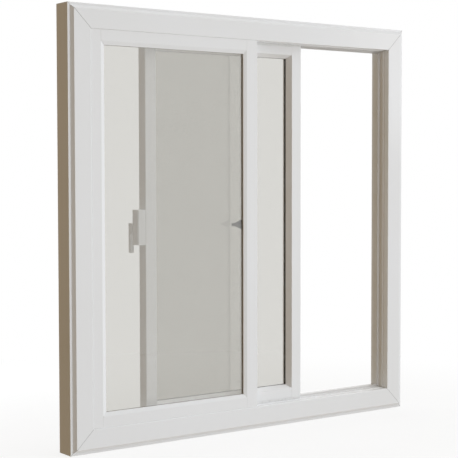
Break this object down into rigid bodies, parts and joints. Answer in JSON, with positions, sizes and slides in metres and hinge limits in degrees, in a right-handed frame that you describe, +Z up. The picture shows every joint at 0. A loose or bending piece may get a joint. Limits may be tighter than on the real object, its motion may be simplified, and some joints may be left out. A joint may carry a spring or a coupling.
{
  "type": "horizontal sliding window",
  "caption": "White horizontal sliding window with a mitred frame, a fixed glazed light in front and a glazed sash that slides behind it, with a side latch.",
  "frame": {"origin": "middle of the underside of the sill, where the window seats in its opening", "axes": "+X along the sill to the right seen from outside, +Y from outside to the room, +Z up"},
  "size_m": [1.2, 0.0786, 1.2],
  "materials": {
    "white_profile": "smooth white profile, semi gloss",
    "clear_glass": "clear float glass",
    "black_gasket": "black gasket",
    "nylon": "natural nylon",
    "latch_white": "white paint, satin",
    "steel": "plated",
    "dark_metal": "dark grey paint"
  },
  "bodies": {
    "window_frame": {"frame_head": "white_profile", "frame_sill": "white_profile", "frame_left_jamb": "white_profile", "frame_right_jamb": "white_profile", "fixed_jamb_stile": "white_profile", "fixed_meeting_stile": "white_profile", "fixed_top_rail": "white_profile", "fixed_bottom_rail": "white_profile", "fixed_glass": "clear_glass", "fixed_gasket": "black_gasket", "latch_keeper": "dark_metal"},
    "sliding_sash": {"sash_lock_stile": "white_profile", "sash_closing_stile": "white_profile", "sash_top_rail": "white_profile", "sash_bottom_rail": "white_profile", "sash_glass": "clear_glass", "sash_gasket": "black_gasket", "glide_shoe_left": "nylon", "glide_shoe_right": "nylon", "guide_shoe_left": "nylon", "guide_shoe_right": "nylon", "latch_case": "latch_white"},
    "latch_handle": {"latch_lever": "latch_white", "latch_spindle": "steel"}
  },
  "joints": [
    {"name": "sash_slide", "type": "slide", "parent": "window_frame", "child": "sliding_sash", "axis": [1, 0, 0], "range_m": [-0.141, 0.3272]},
    {"name": "latch_turn", "type": "hinge", "parent": "sliding_sash", "child": "latch_handle", "pos_m": [-0.3701, 0.03, 0.602], "axis": [0, -1, 0], "range_deg": [0, 90]}
  ]
}
